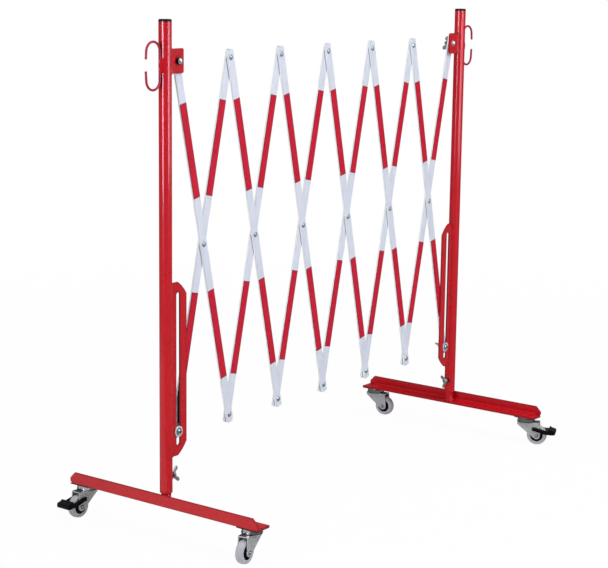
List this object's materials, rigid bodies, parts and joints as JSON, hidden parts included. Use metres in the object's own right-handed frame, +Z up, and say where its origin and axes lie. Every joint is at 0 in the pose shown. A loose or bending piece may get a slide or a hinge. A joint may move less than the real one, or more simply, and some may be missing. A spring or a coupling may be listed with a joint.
{
  "type": "expandable scissor barrier",
  "caption": "Expandable barrier on castors: a white steel scissor lattice with red stripes between red posts, each on an angle-iron foot with wire hook, slotted guide and wing nuts.",
  "frame": {"origin": "on the floor under the treads, midway between the two posts, in the plane of the post axes", "axes": "+X along the barrier from the left to the right post, +Y away from the striped front faces, +Z up"},
  "size_m": [1.2362, 0.5655, 1.076],
  "materials": {
    "white_paint": "smooth semi-gloss white enamel with a slight blue tint, glossy red stripes in two bands on the front faces",
    "red_paint": "glossy signal-red enamel, thick over the welds",
    "zinc": "bright zinc plating, satin on pressed sheet",
    "grey_tyre": "matt non-marking grey rubber",
    "black_plastic": "fine-grained black moulding"
  },
  "bodies": {
    "left_foot": {"left_foot": "red_paint", "left_foot_stub": "red_paint", "left_castor_heads": "zinc"},
    "left_post": {"left_post": "red_paint", "left_post_cap": "black_plastic", "left_hook": "red_paint", "left_bracket": "red_paint", "left_slot_plate": "red_paint", "left_clamp_nut": "red_paint", "left_bracket_bolt": "zinc"},
    "front_bar_1": {"bar_a1": "white_paint", "rivets_1": "zinc"},
    "back_bar_1": {"bar_b1": "white_paint", "left_slot_bolt": "zinc"},
    "front_bar_2": {"bar_a2": "white_paint", "rivets_2": "zinc"},
    "back_bar_2": {"bar_b2": "white_paint"},
    "front_bar_3": {"bar_a3": "white_paint", "rivets_3": "zinc"},
    "back_bar_3": {"bar_b3": "white_paint"},
    "front_bar_4": {"bar_a4": "white_paint", "rivets_4": "zinc"},
    "back_bar_4": {"bar_b4": "white_paint"},
    "front_bar_5": {"bar_a5": "white_paint", "rivets_5": "zinc"},
    "back_bar_5": {"bar_b5": "white_paint"},
    "front_bar_6": {"bar_a6": "white_paint", "rivets_6": "zinc", "right_slot_bolt": "zinc"},
    "back_bar_6": {"bar_b6": "white_paint"},
    "right_post": {"right_post": "red_paint", "right_post_cap": "black_plastic", "right_hook": "red_paint", "right_bracket": "red_paint", "right_slot_plate": "red_paint", "right_clamp_nut": "red_paint", "right_bracket_bolt": "zinc"},
    "right_foot": {"right_foot": "red_paint", "right_foot_stub": "red_paint", "right_castor_heads": "zinc"},
    "left_clamp_screw": {"left_clamp_screw": "zinc"},
    "left_bracket_wing_nut": {"left_bracket_wing_nut": "zinc"},
    "left_slot_wing_nut": {"left_slot_wing_nut": "zinc"},
    "left_front_swivel": {"left_front_fork": "zinc"},
    "left_front_wheel": {"left_front_tyre": "grey_tyre", "left_front_hub": "black_plastic"},
    "left_rear_swivel": {"left_rear_fork": "zinc"},
    "left_rear_wheel": {"left_rear_tyre": "grey_tyre", "left_rear_hub": "black_plastic"},
    "right_clamp_screw": {"right_clamp_screw": "zinc"},
    "right_bracket_wing_nut": {"right_bracket_wing_nut": "zinc"},
    "right_slot_wing_nut": {"right_slot_wing_nut": "zinc"},
    "right_front_swivel": {"right_front_fork": "zinc"},
    "right_front_wheel": {"right_front_tyre": "grey_tyre", "right_front_hub": "black_plastic"},
    "right_rear_swivel": {"right_rear_fork": "zinc"},
    "right_rear_wheel": {"right_rear_tyre": "grey_tyre", "right_rear_hub": "black_plastic"},
    "left_rear_pedal": {"left_rear_pedal": "black_plastic"},
    "right_front_pedal": {"right_front_pedal": "black_plastic"}
  },
  "joints": [
    {"name": "left_post_height", "type": "slide", "parent": "left_foot", "child": "left_post", "axis": [0, 0, 1], "range_m": [-0.016, 0.024]},
    {"name": "fold", "type": "hinge", "parent": "left_post", "child": "front_bar_1", "pos_m": [-0.517, 0, 0.99199], "axis": [0, -1, 0], "range_deg": [-10, 40]},
    {"name": "cross_1", "type": "hinge", "parent": "front_bar_1", "child": "back_bar_1", "pos_m": [-0.43083, 0.004, 0.6065], "axis": [0, -1, 0], "range_deg": [-80, 20]},
    {"name": "top_1", "type": "hinge", "parent": "back_bar_1", "child": "front_bar_2", "pos_m": [-0.34467, 0.004, 0.99199], "axis": [0, -1, 0], "range_deg": [-20, 80]},
    {"name": "cross_2", "type": "hinge", "parent": "front_bar_2", "child": "back_bar_2", "pos_m": [-0.2585, 0.004, 0.6065], "axis": [0, -1, 0], "range_deg": [-80, 20]},
    {"name": "top_2", "type": "hinge", "parent": "back_bar_2", "child": "front_bar_3", "pos_m": [-0.17233, 0.004, 0.99199], "axis": [0, -1, 0], "range_deg": [-20, 80]},
    {"name": "cross_3", "type": "hinge", "parent": "front_bar_3", "child": "back_bar_3", "pos_m": [-0.08617, 0.004, 0.6065], "axis": [0, -1, 0], "range_deg": [-80, 20]},
    {"name": "top_3", "type": "hinge", "parent": "back_bar_3", "child": "front_bar_4", "pos_m": [0, 0.004, 0.99199], "axis": [0, -1, 0], "range_deg": [-20, 80]},
    {"name": "cross_4", "type": "hinge", "parent": "front_bar_4", "child": "back_bar_4", "pos_m": [0.08617, 0.004, 0.6065], "axis": [0, -1, 0], "range_deg": [-80, 20]},
    {"name": "top_4", "type": "hinge", "parent": "back_bar_4", "child": "front_bar_5", "pos_m": [0.17233, 0.004, 0.99199], "axis": [0, -1, 0], "range_deg": [-20, 80]},
    {"name": "cross_5", "type": "hinge", "parent": "front_bar_5", "child": "back_bar_5", "pos_m": [0.2585, 0.004, 0.6065], "axis": [0, -1, 0], "range_deg": [-80, 20]},
    {"name": "top_5", "type": "hinge", "parent": "back_bar_5", "child": "front_bar_6", "pos_m": [0.34467, 0.004, 0.99199], "axis": [0, -1, 0], "range_deg": [-20, 80]},
    {"name": "cross_6", "type": "hinge", "parent": "front_bar_6", "child": "back_bar_6", "pos_m": [0.43083, 0.004, 0.6065], "axis": [0, -1, 0], "range_deg": [-80, 20]},
    {"name": "right_bracket_pivot", "type": "hinge", "parent": "back_bar_6", "child": "right_post", "pos_m": [0.517, 0, 0.99199], "axis": [0, -1, 0], "range_deg": [-10, 40]},
    {"name": "right_foot_height", "type": "slide", "parent": "right_post", "child": "right_foot", "axis": [0, 0, -1], "range_m": [-0.016, 0.024]},
    {"name": "left_clamp_screw_turn", "type": "hinge", "parent": "left_post", "child": "left_clamp_screw", "pos_m": [-0.531, 0, 0.129], "axis": [1, 0, 0], "continuous": true},
    {"name": "left_bracket_nut_turn", "type": "hinge", "parent": "left_post", "child": "left_bracket_wing_nut", "pos_m": [-0.517, 0.008, 0.99199], "axis": [0, 1, 0], "continuous": true},
    {"name": "left_slot_nut_turn", "type": "hinge", "parent": "back_bar_1", "child": "left_slot_wing_nut", "pos_m": [-0.517, 0.008, 0.22101], "axis": [0, 1, 0], "continuous": true},
    {"name": "left_front_swivel", "type": "hinge", "parent": "left_foot", "child": "left_front_swivel", "pos_m": [-0.55, -0.23, 0.06], "axis": [0, 0, 1], "continuous": true},
    {"name": "left_front_roll", "type": "hinge", "parent": "left_front_swivel", "child": "left_front_wheel", "pos_m": [-0.57779, -0.23341, 0.025], "axis": [0.1219, -0.9925, 0], "continuous": true},
    {"name": "left_rear_swivel", "type": "hinge", "parent": "left_foot", "child": "left_rear_swivel", "pos_m": [-0.55, 0.23, 0.06], "axis": [0, 0, 1], "continuous": true},
    {"name": "left_rear_roll", "type": "hinge", "parent": "left_rear_swivel", "child": "left_rear_wheel", "pos_m": [-0.578, 0.23049, 0.025], "axis": [-0.0175, -0.9998, 0], "continuous": true},
    {"name": "left_rear_brake", "type": "hinge", "parent": "left_rear_swivel", "child": "left_rear_pedal", "pos_m": [-0.572, 0.23038, 0.0415], "axis": [0.0175, 0.9998, 0], "range_deg": [0, 14]},
    {"name": "right_clamp_screw_turn", "type": "hinge", "parent": "right_post", "child": "right_clamp_screw", "pos_m": [0.531, 0, 0.129], "axis": [1, 0, 0], "continuous": true},
    {"name": "right_bracket_nut_turn", "type": "hinge", "parent": "right_post", "child": "right_bracket_wing_nut", "pos_m": [0.517, 0.008, 0.99199], "axis": [0, 1, 0], "continuous": true},
    {"name": "right_slot_nut_turn", "type": "hinge", "parent": "front_bar_6", "child": "right_slot_wing_nut", "pos_m": [0.517, 0.008, 0.22101], "axis": [0, 1, 0], "continuous": true},
    {"name": "right_front_swivel", "type": "hinge", "parent": "right_foot", "child": "right_front_swivel", "pos_m": [0.55, -0.23, 0.06], "axis": [0, 0, 1], "continuous": true},
    {"name": "right_front_roll", "type": "hinge", "parent": "right_front_swivel", "child": "right_front_wheel", "pos_m": [0.56094, -0.25577, 0.025], "axis": [0.9205, 0.3907, 0], "continuous": true},
    {"name": "right_front_brake", "type": "hinge", "parent": "right_front_swivel", "child": "right_front_pedal", "pos_m": [0.5586, -0.25025, 0.0415], "axis": [-0.9205, -0.3907, 0], "range_deg": [0, 14]},
    {"name": "right_rear_swivel", "type": "hinge", "parent": "right_foot", "child": "right_rear_swivel", "pos_m": [0.55, 0.23, 0.06], "axis": [0, 0, 1], "continuous": true},
    {"name": "right_rear_roll", "type": "hinge", "parent": "right_rear_swivel", "child": "right_rear_wheel", "pos_m": [0.55244, 0.20211, 0.025], "axis": [0.9962, 0.0872, 0], "continuous": true}
  ],
  "couplings": [
    {"joint": "cross_1", "follows": "fold", "ratio": -2},
    {"joint": "top_1", "follows": "fold", "ratio": 2},
    {"joint": "cross_2", "follows": "fold", "ratio": -2},
    {"joint": "top_2", "follows": "fold", "ratio": 2},
    {"joint": "cross_3", "follows": "fold", "ratio": -2},
    {"joint": "top_3", "follows": "fold", "ratio": 2},
    {"joint": "cross_4", "follows": "fold", "ratio": -2},
    {"joint": "top_4", "follows": "fold", "ratio": 2},
    {"joint": "cross_5", "follows": "fold", "ratio": -2},
    {"joint": "top_5", "follows": "fold", "ratio": 2},
    {"joint": "cross_6", "follows": "fold", "ratio": -2},
    {"joint": "right_bracket_pivot", "follows": "fold", "ratio": 1}
  ]
}
